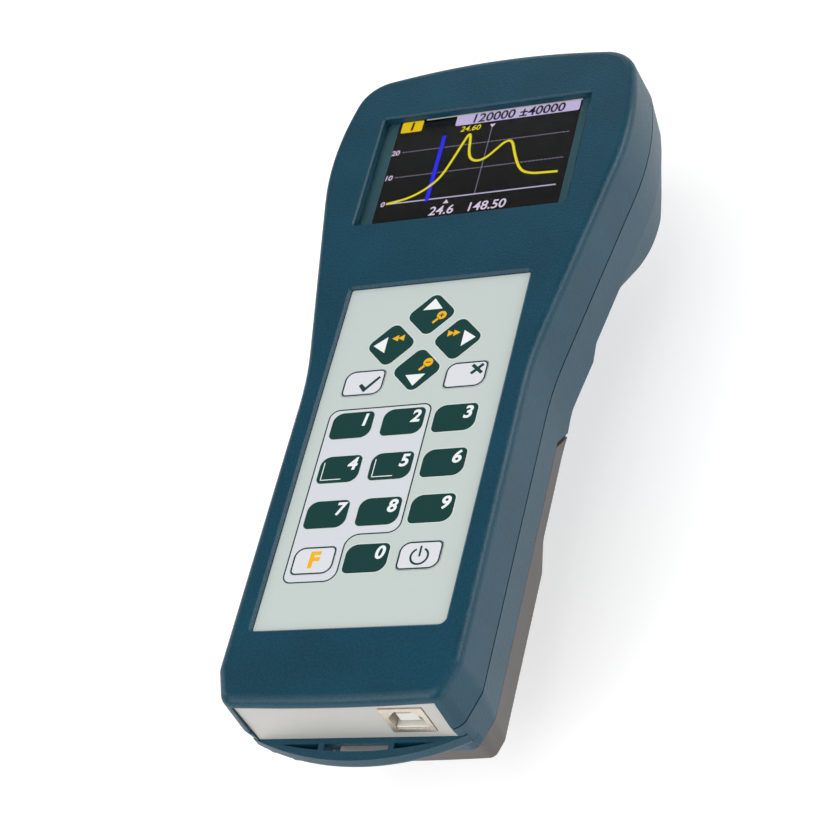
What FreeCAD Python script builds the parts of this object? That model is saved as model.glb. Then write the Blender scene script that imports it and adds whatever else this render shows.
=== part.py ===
import FreeCAD, Part
import math
import os

from FreeCAD import Vector

os.makedirs("parts", exist_ok=True)

# All sizes are millimetres. X is across the case, Y runs from the lip to the antenna connector,
# and Z rises from the plane that the case lies on to its face. The origin is under the middle.

# Case outline seen from the face
grip_half_width = 34.7
flare_start_y = -5.1
flare_bend_radius = 110.0
head_bend_x = 50.0
head_bend_y = 79.8
head_bend_radius = 90.0
head_corner_x = 43.6
head_corner_radius = 12.5
top_end_y = 112.6
top_slope_deg = 8.0
toe_y = -100.0
toe_bend_radius = 6.0
toe_corner_x = 31.2
toe_corner_radius = 4.5
bottom_end_y = -111.2
bottom_slope_deg = 2.3
end_straight = 14.0

# Case levels and walls
face_level = 40.0
parting_level = 25.3
back_level = 11.4
door_level = 12.2
side_wall = 2.4
face_wall = 2.6
back_wall = 2.2
front_draft = 0.035
rear_draft = 0.145
face_edge_radius = 2.6
parting_gap = 0.5
tongue_height = 1.6
tongue_width = 1.1
fit_gap = 0.1

# Swelling at the back of the display end
hump_foot_y = 41.5
hump_slope_deg = 29.0
hump_round_radius = 40.0
hump_end_y = 76.6
hump_end_slope_deg = 45.0
hump_end_radius = 4.0
hump_foot_radius = 5.0
hump_draft = 0.235

# Low swelling ahead of the battery door
swell_start_y = 21.7
swell_level = 8.4
swell_join_y = -5.6
swell_join_level = 6.6
swell_ramp_length = 4.2

# Battery door
door_head_lean = 1.3
door_head_gap = 1.2
door_thin_level = 4.7
door_step_y = -40.4
door_step_length = 7.3
door_end_inset = 2.4
door_corner_radius = 6.0
door_wall = 2.0
door_seam = 0.15
door_edge_radius = 2.2

# Lip past the lower end panel
lip_reach = 4.9
lip_half_width = 30.5
lip_horn_y = -109.2
lip_top_level = 20.4
lip_low_level = 15.4
lip_edge_radius = 2.4
lip_pocket_y = -111.1
lip_pocket_half_width = 21.7
lip_pocket_length = 2.3
lip_pocket_depth = 2.8
lip_post_width = 1.6

# Latch of the battery door, in a window under the lower panel
latch_half_width = 8.7
latch_thickness = 1.3
latch_top_level = 17.4
latch_gap = 0.5
latch_window_level = 19.0

# End panels
panel_half_width = 28.4
panel_thickness = 1.5
panel_top_level = 36.9
lower_panel_face_y = -109.5
lower_panel_low_level = 20.5
upper_panel_face_y = 103.5
upper_panel_low_level = 14.0
panel_rib_thickness = 1.6

# Display
window_width = 66.6
window_length = 42.2
window_y = 71.4
window_corner_radius = 0.8
window_edge = 0.5
lens_margin = 1.9
lens_upper_margin = 4.6
lens_thickness = 1.0
display_width = 58.8
display_length = 43.0
display_y = 73.4
glass_margin = 2.2
glass_thickness = 1.9
frame_thickness = 0.5
light_thickness = 2.6
display_board_width = 82.4
display_board_length = 48.0
display_board_thickness = 1.6
display_post_x = 38.4
display_post_y = 20.0
display_post_radius = 2.4

# Keypad
overlay_width = 55.0
overlay_length = 114.2
overlay_low_y = -88.5
overlay_thickness = 0.6
overlay_drop = 1.1
overlay_corner_radius = 0.6
overlay_round_corner_radius = 2.0
recess_edge = 0.7
key_width = 12.3
key_length = 8.7
key_round_radius = 3.0
key_tight_radius = 1.6
key_pitch_x = 15.35
key_pitch_y = 14.7
key_row_y = -67.15
answer_row_y = -8.6
arrow_width = 10.6
arrow_length = 10.95
arrow_corner_radius = 2.2
arrow_spread_x = 10.1
arrow_spread_y = 9.7
arrow_y = 4.3
key_proud = 0.12
key_clearance = 0.12
key_thickness = 0.8
key_travel = 0.3
plunger_radius = 2.2
dome_radius = 3.0
dome_height = 0.4
dome_gap = 0.05
keypad_board_margin = 3.6
keypad_board_thickness = 1.6
keypad_spacer_height = 0.8
keypad_post_radius = 2.0

# Main board and what it carries
board_level = 21.5
board_thickness = 1.6
board_wall_gap = 0.8
board_end_gap = 0.5
board_post_x = 25.0
board_post_low_y = -2.0
board_post_high_y = 34.0
board_post_radius = 3.0
shield_width = 40.0
shield_length = 44.0
shield_height = 4.4
shield_wall = 0.4
shield_y = 62.0
buzzer_radius = 6.0
buzzer_height = 5.0
buzzer_x = -16.0
buzzer_y = -85.0
link_width = 22.0
link_depth = 5.0
link_y = -62.0

# Data socket
socket_x = 17.65
socket_width = 12.04
socket_height = 10.8
socket_length = 16.0
socket_wall = 0.4
socket_chamfer = 2.6
socket_proud = 0.35
socket_rim = 1.3
socket_tongue_width = 5.6
socket_tongue_height = 3.2
socket_tongue_inset = 1.2
socket_lining = 0.6

# Antenna connector
connector_level = 25.3
thread_radius = 7.94
thread_length = 10.1
connector_hex = 19.0
connector_hex_thickness = 2.5
connector_neck_radius = 6.3
connector_neck_length = 6.0
connector_nut_hex = 17.0
connector_nut_thickness = 2.4
connector_washer_thickness = 0.7
connector_bore_radius = 4.05
connector_chamfer = 0.7
connector_tail_length = 9.0
contact_radius = 1.5
contact_pin_radius = 0.6
insulator_length = 3.0

# Cells
cell_count = 3
cell_radius = 7.25
cell_length = 50.5
cell_nub_radius = 2.75
cell_nub_length = 1.0
cell_pitch = 15.2
cell_clearance = 0.35
bay_end_gap = 1.4
bay_wall = 2.0
bay_middle_y = -76.0
contact_thickness = 0.4
contact_width = 9.0

# Screws
case_screw_radius = 1.5
case_screw_reach = 8.0
case_screw_head_radius = 2.8
case_screw_head_height = 1.8
case_boss_radius = 3.2
head_boss_x = 39.0
head_boss_y = 98.6
grip_boss_x = 28.9
grip_boss_y = -20.0
toe_boss_y = -97.0
small_screw_radius = 1.0
small_screw_reach = 4.0
small_screw_head_radius = 1.8
small_screw_head_height = 1.1
screw_slot_width = 0.7
screw_slot_depth = 0.7

far = 400.0


# Outlines made of straight runs with rounded corners

def unit(dx, dy):
    length = math.hypot(dx, dy)
    return dx / length, dy / length


def corner_turn(before, corner, after):
    """Directions into and out of a corner, and the signed turn between them."""
    in_x, in_y = unit(corner[0] - before[0], corner[1] - before[1])
    out_x, out_y = unit(after[0] - corner[0], after[1] - corner[1])
    turn = math.atan2(in_x * out_y - in_y * out_x, in_x * out_x + in_y * out_y)
    return (in_x, in_y), (out_x, out_y), turn


def inset_corners(corners, distance):
    """Moves every side of a clockwise outline inwards, and keeps its rounded corners parallel."""
    moved = []
    count = len(corners)
    for i in range(count):
        corner = corners[i]
        way_in, way_out, turn = corner_turn(corners[i - 1], corner, corners[(i + 1) % count])
        miter = distance / math.cos(turn / 2)
        normal_x = way_in[1] + way_out[1]
        normal_y = -way_in[0] - way_out[0]
        normal_x, normal_y = unit(normal_x, normal_y)
        radius = corner[2]
        if radius > 0:
            radius = max(radius + (distance if turn > 0 else -distance), 0.2)
        moved.append((corner[0] + normal_x * miter, corner[1] + normal_y * miter, radius))
    return moved


def outline_edges(corners, place):
    """Lines and arcs along a rounded outline; place turns a flat point into a point in space."""
    count = len(corners)
    stops = []
    for i in range(count):
        corner = corners[i]
        way_in, way_out, turn = corner_turn(corners[i - 1], corner, corners[(i + 1) % count])
        radius = corner[2]
        reach = radius * math.tan(abs(turn) / 2)
        start = (corner[0] - way_in[0] * reach, corner[1] - way_in[1] * reach)
        end = (corner[0] + way_out[0] * reach, corner[1] + way_out[1] * reach)
        middle = None
        if reach > 1e-6:
            side_x, side_y = unit(way_out[0] - way_in[0], way_out[1] - way_in[1])
            depth = radius / math.cos(turn / 2) - radius
            middle = (corner[0] + side_x * depth, corner[1] + side_y * depth)
        stops.append((start, middle, end))
    edges = []
    for i in range(count):
        start, middle, end = stops[i]
        if middle is not None:
            edges.append(Part.Arc(place(start), place(middle), place(end)).toShape())
        following = stops[(i + 1) % count][0]
        if math.hypot(following[0] - end[0], following[1] - end[1]) > 1e-6:
            edges.append(Part.LineSegment(place(end), place(following)).toShape())
    return edges


def flat_wire(corners, level):
    return Part.Wire(outline_edges(corners, lambda p: Vector(p[0], p[1], level)))


def prism(corners, low, high):
    face = Part.Face(flat_wire(corners, low))
    return face.extrude(Vector(0, 0, high - low))


def side_profile(corners, half_width=far / 2):
    """Solid whose section in the Y-Z plane is the given outline, running right across the case."""
    wire = Part.Wire(outline_edges(corners, lambda p: Vector(-half_width, p[0], p[1])))
    return Part.Face(wire).extrude(Vector(2 * half_width, 0, 0))


def box(x0, x1, y0, y1, z0, z1):
    return Part.makeBox(x1 - x0, y1 - y0, z1 - z0, Vector(x0, y0, z0))


def rod(x, y, low, high, radius):
    return Part.makeCylinder(radius, high - low, Vector(x, y, low))


def lengthwise_rod(x, z, y0, y1, radius):
    return Part.makeCylinder(radius, y1 - y0, Vector(x, y0, z), Vector(0, 1, 0))


def rounded_box(x, y, width, length, low, high, radius):
    return prism(rectangle(x, y, width, length, [radius] * 4), low, high)


def rectangle(x, y, width, length, radii):
    """Clockwise rectangle from its upper left corner, with one radius for each corner."""
    left = x - width / 2
    right = x + width / 2
    low = y - length / 2
    high = y + length / 2
    places = [(left, high), (right, high), (right, low), (left, low)]
    return [(px, py, radius) for (px, py), radius in zip(places, radii)]


def joined(solids):
    """One solid from several that overlap or meet."""
    first = solids[0]
    return first.fuse(solids[1:]).removeSplitter() if len(solids) > 1 else first


def single(shape):
    """The solid held by a shape that a cut or a common leaves behind."""
    solids = shape.Solids
    return solids[0] if len(solids) == 1 else shape


def softened(shape, radius, chosen):
    """Rounds the chosen edges."""
    edges = [edge for edge in shape.Edges if chosen(edge)]
    return single(shape.makeFillet(radius, edges))


def save(name, solids):
    shape = solids[0] if len(solids) == 1 else Part.makeCompound(solids)
    shape.exportStep("parts/" + name + ".step")


# Levels and places that follow from the sizes above

overlay_top = face_level - overlay_drop
overlay_bottom = overlay_top - overlay_thickness
face_inner = face_level - face_wall
lens_top = face_inner
lens_bottom = lens_top - lens_thickness
glass_top = lens_bottom - fit_gap
glass_bottom = glass_top - glass_thickness
light_bottom = glass_bottom - light_thickness
display_board_top = light_bottom
display_board_bottom = display_board_top - display_board_thickness
overlay_y = overlay_low_y + overlay_length / 2
keypad_board_top = face_inner - keypad_spacer_height
keypad_board_bottom = keypad_board_top - keypad_board_thickness
dome_top = keypad_board_top + dome_height
board_top = board_level + board_thickness
cell_level = door_wall + cell_radius + cell_clearance
bay_ceiling = cell_level + cell_radius + cell_clearance
bay_half_width = cell_pitch * (cell_count - 1) / 2 + cell_radius + cell_clearance
bay_length = cell_length + 2 * bay_end_gap
front_low = parting_level + parting_gap / 2
rear_high = parting_level - parting_gap / 2


def case_corners(end_inset=0.0, low_corner_radius=toe_corner_radius):
    """Case outline, clockwise from the middle of the top end; end_inset shortens the lower end."""
    top_slope = math.radians(top_slope_deg)
    low_slope = math.radians(bottom_slope_deg)
    top_reach = head_corner_x / math.cos(top_slope) - end_straight
    low_reach = toe_corner_x / math.cos(low_slope) - end_straight / 2
    top_radius = top_reach / math.tan(top_slope)
    low_radius = low_reach / math.tan(low_slope)
    top_peak = top_end_y + top_radius * (1 / math.cos(top_slope) - 1)
    low_end = bottom_end_y + end_inset
    low_peak = low_end - low_radius * (1 / math.cos(low_slope) - 1)
    side = [
        (head_corner_x, top_peak - head_corner_x * math.tan(top_slope), head_corner_radius),
        (head_bend_x, head_bend_y, head_bend_radius),
        (grip_half_width, flare_start_y, flare_bend_radius),
        (grip_half_width, toe_y, toe_bend_radius),
        (toe_corner_x + end_inset / 3, low_peak + toe_corner_x * math.tan(low_slope),
         low_corner_radius),
    ]
    mirrored = [(-x, y, radius) for x, y, radius in reversed(side)]
    return [(0.0, top_peak, top_radius)] + side + [(0.0, low_peak, low_radius)] + mirrored


def drafted(corners, high, low, draft, inset=0.0):
    """Solid whose walls lean inwards from the parting line, cut off at two levels."""
    wires = []
    for level in (high, low):
        lean = draft * abs(level - parting_level)
        wires.append(flat_wire(inset_corners(corners, inset + lean), level))
    return Part.makeLoft(wires, True, True)


def ramp_y(level):
    """Where the leaning end face of the blue case stands at a level, ahead of the door."""
    return swell_join_y - door_head_lean * (level - swell_join_level)


def back_corners(inset=0.0):
    """Y-Z outline of the blue case below the parting line, hump and swelling included."""
    hump_slope = math.tan(math.radians(hump_slope_deg))
    end_slope = math.tan(math.radians(hump_end_slope_deg))
    corners = [
        (-far / 2, parting_level + 8.0, 0.0),
        (far / 2, parting_level + 8.0, 0.0),
        (far / 2, back_level, 0.0),
        (hump_end_y + back_level / end_slope, back_level, hump_foot_radius),
        (hump_end_y, 0.0, hump_end_radius),
        (hump_foot_y + back_level / hump_slope, 0.0, hump_round_radius),
        (hump_foot_y, back_level, hump_foot_radius),
        (swell_start_y, back_level, 1.0),
        (swell_start_y - swell_ramp_length, swell_level, 1.0),
        (0.0, swell_level + 0.3, 8.0),
        (swell_join_y, swell_join_level, 0.0),
        (ramp_y(door_level), door_level, 0.0),
        (-far / 2, door_level, 0.0),
    ]
    return inset_corners(corners, inset) if inset else corners


def hump_trim(outline):
    """What the hump's walls lose below the back, where they lean in more than the walls above."""
    start = inset_corners(outline, rear_draft * (parting_level - back_level))
    end = inset_corners(start, hump_draft * back_level)
    kept = Part.makeLoft([flat_wire(start, back_level), flat_wire(end, 0.0)], True, True)
    zone = box(-far, far, hump_foot_y - 2.0, far, 0.0, back_level)
    return zone.cut(kept)


def door_corners(inset=0.0):
    """Y-Z outline of the battery door, with its leaning upper end and its step."""
    shift = door_head_gap / math.sin(math.atan2(1.0, door_head_lean))
    top = door_level - door_seam
    corners = [
        (-far / 2, top, 0.0),
        (ramp_y(top) - shift, top, 0.0),
        (ramp_y(door_thin_level) - shift, door_thin_level, 0.0),
        (door_step_y, door_thin_level, 3.0),
        (door_step_y - door_step_length, 0.0, 3.0),
        (-far / 2, 0.0, 0.0),
    ]
    return inset_corners(corners, inset) if inset else corners


def boss_places():
    places = []
    for x, y in ((head_boss_x, head_boss_y), (grip_boss_x, grip_boss_y), (grip_boss_x, toe_boss_y)):
        places.append((x, y))
        places.append((-x, y))
    return places


def display_post_places():
    return [(sx * display_post_x, window_y + sy * display_post_y) for sx in (-1, 1) for sy in (-1, 1)]


def keypad_post_places():
    x = overlay_width / 2 - keypad_post_radius + 0.6
    high = answer_row_y + 36.0
    low = overlay_low_y + 9.0
    return [(-x, low), (x, low), (-x, high), (x, high)]


def board_post_places():
    return [(sx * board_post_x, y) for sx in (-1, 1) for y in (board_post_low_y, board_post_high_y)]


def key_plan():
    """Every key with its name, centre and kind."""
    plan = [
        ("up_key", 0.0, arrow_y + arrow_spread_y, "arrow"),
        ("down_key", 0.0, arrow_y - arrow_spread_y, "arrow"),
        ("left_key", -arrow_spread_x, arrow_y, "arrow"),
        ("right_key", arrow_spread_x, arrow_y, "arrow"),
        ("confirm_key", -key_pitch_x, answer_row_y, "plain"),
        ("cancel_key", key_pitch_x, answer_row_y, "plain"),
    ]
    for digit in range(1, 10):
        column = (digit - 1) % 3 - 1
        row = 3 - (digit - 1) // 3
        plan.append(("digit_%d_key" % digit, column * key_pitch_x, key_row_y + row * key_pitch_y, "plain"))
    plan.append(("function_key", -key_pitch_x, key_row_y, "plain"))
    plan.append(("digit_0_key", 0.0, key_row_y, "plain"))
    plan.append(("power_key", key_pitch_x, key_row_y, "plain"))
    return plan


def key_outline(x, y, kind, growth=0.0):
    """Leaf-cornered key, or a square arrow key that stands on its corner."""
    if kind == "plain":
        radii = [key_round_radius, key_tight_radius, key_round_radius, key_tight_radius]
        radii = [radius + growth for radius in radii]
        return rectangle(x, y, key_width + 2 * growth, key_length + 2 * growth, radii)
    half_x = arrow_width / math.sqrt(2) + growth * math.sqrt(2)
    half_y = arrow_length / math.sqrt(2) + growth * math.sqrt(2)
    radius = arrow_corner_radius + growth
    return [(x, y + half_y, radius), (x + half_x, y, radius), (x, y - half_y, radius), (x - half_x, y, radius)]


# Case

def tongue_ring(inner_growth=0.0, outer_growth=0.0, high=0.0):
    """Raised edge that stands on the rear shell and enters the front shell."""
    outer = inset_corners(case_corners(), side_wall - tongue_width - outer_growth)
    inner = inset_corners(case_corners(), side_wall + inner_growth)
    low = rear_high - 0.6
    return prism(outer, low, high).cut(prism(inner, low - 1, high + 1))


def panel_room(face_y, low, outwards):
    """Space that an end panel and the opening outside it take in the shells."""
    half = panel_half_width + fit_gap
    inner = face_y - outwards * (panel_thickness + fit_gap)
    outer = face_y + outwards * 30.0
    top = panel_top_level + fit_gap
    return box(-half, half, min(inner, outer), max(inner, outer), low - fit_gap, top)


def panel_openings():
    lower = panel_room(lower_panel_face_y, lower_panel_low_level, -1)
    upper = panel_room(upper_panel_face_y, upper_panel_low_level, 1)
    return [lower, upper]


def overlay_outline(growth=0.0):
    radii = [overlay_corner_radius] * 4
    radii[2] = overlay_round_corner_radius
    width = overlay_width + 2 * growth
    return rectangle(0, overlay_y, width, overlay_length + 2 * growth, radii)


def keypad_aperture():
    """Opening behind the overlay, clear of every key."""
    half = key_pitch_x + key_width / 2 + 2.0
    low = key_row_y - key_length / 2 - 3.0
    high = arrow_y + arrow_spread_y + arrow_length / math.sqrt(2) + 2.4
    return rounded_box(0, (low + high) / 2, 2 * half, high - low, face_inner - 1, face_level, 2.0)


def bevelled_opening(corners, low, edge):
    """Opening with a small bevel where it meets the face."""
    straight = prism(corners, low, face_level + 1)
    wide = flat_wire(inset_corners(corners, -edge), face_level)
    narrow = flat_wire(corners, face_level - edge)
    return straight.fuse(Part.makeLoft([narrow, wide], True, True))


def front_shell():
    outline = case_corners()
    body = drafted(outline, face_level, front_low, front_draft)
    body = softened(body, face_edge_radius, lambda e: e.BoundBox.ZMin > face_level - 0.01)
    room = prism(inset_corners(outline, side_wall), parting_level - 5, face_inner)
    body = body.cut(room)
    body = body.cut(tongue_ring(fit_gap, fit_gap, parting_level + tongue_height + fit_gap))
    window = rectangle(0, window_y, window_width, window_length, [window_corner_radius] * 4)
    cuts = [bevelled_opening(window, face_inner - 1, window_edge)]
    cuts.append(bevelled_opening(overlay_outline(fit_gap), overlay_bottom, recess_edge))
    cuts.append(keypad_aperture())
    cuts += panel_openings()
    body = body.cut(cuts)
    posts = []
    bosses = []
    inner = prism(inset_corners(outline, side_wall / 2), parting_level, face_inner + 0.5)
    for x, y in boss_places():
        bosses.append(rod(x, y, front_low + 2.0, face_inner + 0.5, case_boss_radius).common(inner))
    for x, y in display_post_places():
        posts.append(rod(x, y, display_board_top, face_inner + 0.5, display_post_radius))
    for x, y in keypad_post_places():
        posts.append(rod(x, y, keypad_board_top, face_inner + 0.5, keypad_post_radius))
    body = body.fuse(posts + bosses + panel_ribs(front_low + 4.0, face_inner + 0.2)).removeSplitter()
    holes = []
    for x, y in boss_places():
        holes.append(rod(x, y, front_low - 1, front_low + 9.0, case_screw_radius - 0.25))
    for x, y in display_post_places() + keypad_post_places():
        holes.append(rod(x, y, display_board_top - 1, face_inner, small_screw_radius - 0.2))
    return single(body.cut(holes))


def panel_ribs(low, high):
    """Upright ribs behind the ends of the panels, which hold them against the shells."""
    ribs = []
    for face_y, outwards, floor in ((lower_panel_face_y, -1, low), (upper_panel_face_y, 1, low)):
        near = face_y - outwards * (panel_thickness + 2 * fit_gap)
        deep = near - outwards * panel_rib_thickness
        for side in (-1, 1):
            x0 = side * (panel_half_width - 3.0)
            x1 = side * (panel_half_width + 4.5)
            ribs.append(box(min(x0, x1), max(x0, x1), min(near, deep), max(near, deep), floor, high))
    inside = prism(inset_corners(case_corners(), side_wall / 2), low - 1, high + 1)
    return [rib.common(inside) for rib in ribs]


def crescent(half_width, horn_y, tip_y, back_y=None):
    """Outline of a bow that swells to its tip in one arc, closed straight or with a block behind."""
    rise = horn_y - tip_y
    radius = (half_width ** 2 + rise ** 2) / (2 * rise)
    half_angle = math.asin(half_width / radius)
    peak = tip_y - radius * (1 / math.cos(half_angle) - 1)
    block = []
    if back_y is not None:
        block = [(-half_width + 3.0, back_y, 0.0), (half_width - 3.0, back_y, 0.0)]
    horns = [(-half_width, horn_y, 0.0)] + block + [(half_width, horn_y, 0.0)]
    return horns + [(0.0, peak, radius * 0.999)]


def lip_body():
    """Shelf under the lower panel, with its lower edge rounded."""
    tip = bottom_end_y - lip_reach
    shelf = prism(crescent(lip_half_width, lip_horn_y, tip, toe_y), lip_low_level, lip_top_level)
    edge = [e for e in shelf.Edges if e.BoundBox.YMin < tip + 1 and e.BoundBox.ZMax < lip_low_level + 1]
    return single(shelf.makeFillet(lip_edge_radius, edge))


def lip_hollows():
    """Pocket in the shelf, in three bays between two posts; the middle bay goes right through."""
    window = latch_half_width + latch_gap
    tip = lip_pocket_y - lip_pocket_length
    outline = crescent(lip_pocket_half_width, lip_pocket_y, tip)
    through = prism(outline, 0.0, lip_top_level + 1)
    shallow = prism(outline, lip_top_level - lip_pocket_depth, lip_top_level + 1)
    hollows = [through.common(box(-window, window, tip - 1, far, 0, far))]
    for side in (-1, 1):
        x0 = side * (window + lip_post_width)
        x1 = side * (lip_pocket_half_width + 1)
        hollows.append(shallow.common(box(min(x0, x1), max(x0, x1), tip - 1, far, 0, far)))
    return hollows


def bay_box(growth, low, high):
    half = bay_half_width + growth
    length = bay_length + 2 * growth
    return box(-half, half, bay_middle_y - length / 2, bay_middle_y + length / 2, low, high)


def rear_shell():
    outline = case_corners()
    body = drafted(outline, rear_high, 0.0, rear_draft).common(side_profile(back_corners()))
    body = single(body.cut(hump_trim(outline)))
    body = body.fuse(lip_body()).removeSplitter()
    inner = drafted(outline, rear_high + 1, back_wall, rear_draft, side_wall)
    room = inner.common(side_profile(back_corners(back_wall)))
    lip_guard = box(-far, far, -far, lower_panel_face_y + panel_thickness, 0, parting_level + 9)
    body = body.cut(room.cut(lip_guard))
    blocks = [bay_box(bay_wall, door_level, bay_ceiling + back_wall)]
    columns = prism(inset_corners(outline, side_wall + 0.8), 0, parting_level)
    for x, y in boss_places():
        blocks.append(rod(x, y, 0.0, rear_high + 1.8, case_boss_radius).common(columns))
    for x, y in board_post_places():
        blocks.append(rod(x, y, 0.0, board_level, board_post_radius))
    blocks.append(tongue_ring(0.0, 0.0, parting_level + tongue_height))
    blocks += panel_ribs(back_level + 1.0, rear_high - 1.0)
    solid_form = side_profile(back_corners(back_wall / 2))
    body = body.fuse([block.common(solid_form) for block in blocks]).removeSplitter()
    cuts = panel_openings() + lip_hollows()
    cuts.append(bay_box(0.0, 0.0, bay_ceiling))
    for x, y in boss_places():
        seat = case_screw_seat(y)
        cuts.append(rod(x, y, 0.0, far, case_screw_radius + fit_gap))
        cuts.append(rod(x, y, 0.0, seat, case_screw_head_radius + 0.3))
    for x, y in board_post_places():
        cuts.append(rod(x, y, board_level - 5.0, board_level + 1, small_screw_radius - 0.2))
    cuts.append(latch_room())
    return single(body.cut(cuts))


def case_screw_seat(y):
    """Level that the head of a case screw bears on, sunk below the back or below the door."""
    return back_level + 3.2 if y > swell_start_y else door_level + 3.4


def latch_low_y():
    """Outer face of the latch, which stands on the end wall of the door."""
    return bottom_end_y + door_end_inset + rear_draft * (parting_level - door_level) - 0.1


def latch_room():
    """Window through the end wall and the floor, wide enough for the latch and its movement."""
    window = latch_half_width + latch_gap
    inner = latch_low_y() + latch_thickness + latch_gap
    return box(-window, window, lip_pocket_y - 0.01, inner, 0, latch_window_level)


def battery_door():
    outline = case_corners(door_end_inset, door_corner_radius)
    outer = drafted(outline, parting_level, 0.0, rear_draft).common(side_profile(door_corners()))
    outer = single(outer)
    inner = drafted(outline, parting_level + 1, door_wall, rear_draft, door_wall)
    room = inner.common(side_profile(door_corners(door_wall)))
    over = inner.common(box(-far, far, -far, ramp_y(door_level) - 8.0, door_level - door_wall - 1, far))
    outer = softened(outer, door_edge_radius, lambda e: e.BoundBox.ZMax < 1.0 and e.BoundBox.YMin < toe_y + 60)
    body = outer.cut([room, over])
    low = latch_low_y()
    half = latch_half_width
    tongue = box(-half, half, low, low + latch_thickness, door_level - door_wall, latch_top_level)
    tongue = softened(tongue, 1.0, lambda e: e.BoundBox.ZMin > latch_top_level - 0.01 and e.BoundBox.XLength < 0.1)
    ribs = []
    for side in (-1, 1):
        x0 = side * (bay_half_width + 2.6)
        x1 = x0 + side * 1.2
        ribs.append(box(min(x0, x1), max(x0, x1), toe_y + 4, door_step_y - 9, door_wall - 0.5, door_level - 0.6))
    return single(body.fuse([tongue] + ribs).removeSplitter())


def door_seal():
    """Black strip that fills the leaning joint between the case and the door."""
    ramp = math.atan2(1.0, door_head_lean)
    near = fit_gap / math.sin(ramp)
    wide = (door_head_gap - fit_gap) / math.sin(ramp)
    high = door_level - door_seam
    low = swell_join_level + 0.5
    corners = [
        (ramp_y(high) - wide, high, 0.0),
        (ramp_y(high) - near, high, 0.0),
        (ramp_y(low) - near, low, 0.0),
        (ramp_y(low) - wide, low, 0.0),
    ]
    return single(side_profile(corners).common(drafted(case_corners(), parting_level, 0.0, rear_draft, 0.25)))


# Panels, display and keypad

def lower_panel():
    half = panel_half_width
    plate = box(-half, half, lower_panel_face_y, lower_panel_face_y + panel_thickness,
                lower_panel_low_level, panel_top_level)
    hole = socket_block(0.15)
    return single(plate.cut(hole))


def upper_panel():
    half = panel_half_width
    plate = box(-half, half, upper_panel_face_y - panel_thickness, upper_panel_face_y,
                upper_panel_low_level, panel_top_level)
    return single(plate.cut(lengthwise_rod(0, connector_level, 0, far, connector_neck_radius + fit_gap)))


def display_lens():
    width = window_width + 2 * lens_margin
    low = window_y - window_length / 2 - lens_margin
    high = window_y + window_length / 2 + lens_upper_margin
    return rounded_box(0, (low + high) / 2, width, high - low, lens_bottom, lens_top, 1.0)


def display_glass():
    width = display_width + 2 * glass_margin
    return box(-width / 2, width / 2, display_y - display_length / 2, display_y + display_length / 2,
               glass_bottom, glass_top)


def display_frame():
    """Pressed metal tray round the edges of the glass and its light."""
    half = display_width / 2 + glass_margin + fit_gap
    low = display_y - display_length / 2 - fit_gap
    high = display_y + display_length / 2 + fit_gap
    t = frame_thickness
    outer = box(-half - t, half + t, low - t, high + t, light_bottom, glass_top)
    return single(outer.cut(box(-half, half, low, high, light_bottom - 1, glass_top + 1)))


def display_light():
    width = display_width + 2 * glass_margin
    return box(-width / 2, width / 2, display_y - display_length / 2, display_y + display_length / 2,
               light_bottom, glass_bottom)


def display_board():
    plate = rounded_box(0, window_y, display_board_width, display_board_length,
                        display_board_bottom, display_board_top, 2.0)
    holes = [rod(x, y, 0, far, small_screw_radius + fit_gap) for x, y in display_post_places()]
    return single(plate.cut(holes))


def keypad_overlay():
    sheet = prism(overlay_outline(), overlay_bottom, overlay_top)
    holes = [prism(key_outline(x, y, kind, key_clearance), 0, far) for _, x, y, kind in key_plan()]
    return single(sheet.cut(holes))


def key_cap(x, y, kind):
    top = overlay_top + key_proud
    low = top - key_thickness
    cap = prism(key_outline(x, y, kind), low, top)
    stem = rod(x, y, dome_top + key_travel + dome_gap, low + 0.1, plunger_radius)
    return joined([cap, stem])


def key_domes():
    domes = []
    for _, x, y, _ in key_plan():
        domes.append(Part.makeCone(dome_radius, dome_radius * 0.5, dome_height, Vector(x, y, keypad_board_top)))
    return domes


def keypad_board():
    width = overlay_width + 2 * 1.0
    low = overlay_low_y + 9.0 - keypad_board_margin
    high = answer_row_y + 36.0 + keypad_board_margin
    plate = rounded_box(0, (low + high) / 2, width, high - low, keypad_board_bottom, keypad_board_top, 2.0)
    holes = [rod(x, y, 0, far, small_screw_radius + fit_gap) for x, y in keypad_post_places()]
    for x, y in boss_places():
        holes.append(rod(x, y, 0, far, case_boss_radius + 0.6))
    return single(plate.cut(holes))


# Boards

def main_board():
    inset = side_wall + rear_draft * (parting_level - board_level) + board_wall_gap
    low = lower_panel_face_y + panel_thickness + panel_rib_thickness + board_end_gap
    high = upper_panel_face_y - panel_thickness - connector_tail_length - board_end_gap
    plate = prism(inset_corners(case_corners(), inset), board_level, board_top)
    plate = plate.common(box(-far, far, low, high, 0, far))
    holes = [rod(x, y, 0, far, small_screw_radius + fit_gap) for x, y in board_post_places()]
    for x, y in boss_places():
        holes.append(rod(x, y, 0, far, case_boss_radius + 0.6))
        if abs(x) > grip_boss_x - 1 and y < 0:
            holes.append(box(min(x, 2 * x), max(x, 2 * x), y - 3.0, y + 3.0, 0, far))
    return single(plate.cut(holes))


def shield_can():
    """Tinned cover over the measuring stage, open towards the board."""
    half = shield_width / 2
    low = shield_y - shield_length / 2
    high = shield_y + shield_length / 2
    t = shield_wall
    outer = box(-half, half, low, high, board_top, board_top + shield_height)
    inner = box(-half + t, half - t, low + t, high - t, board_top - 1, board_top + shield_height - t)
    middle = box(-0.2, 0.2, low + t, high - t, board_top + 0.5, board_top + shield_height)
    return joined([outer.cut(inner), middle])


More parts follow.
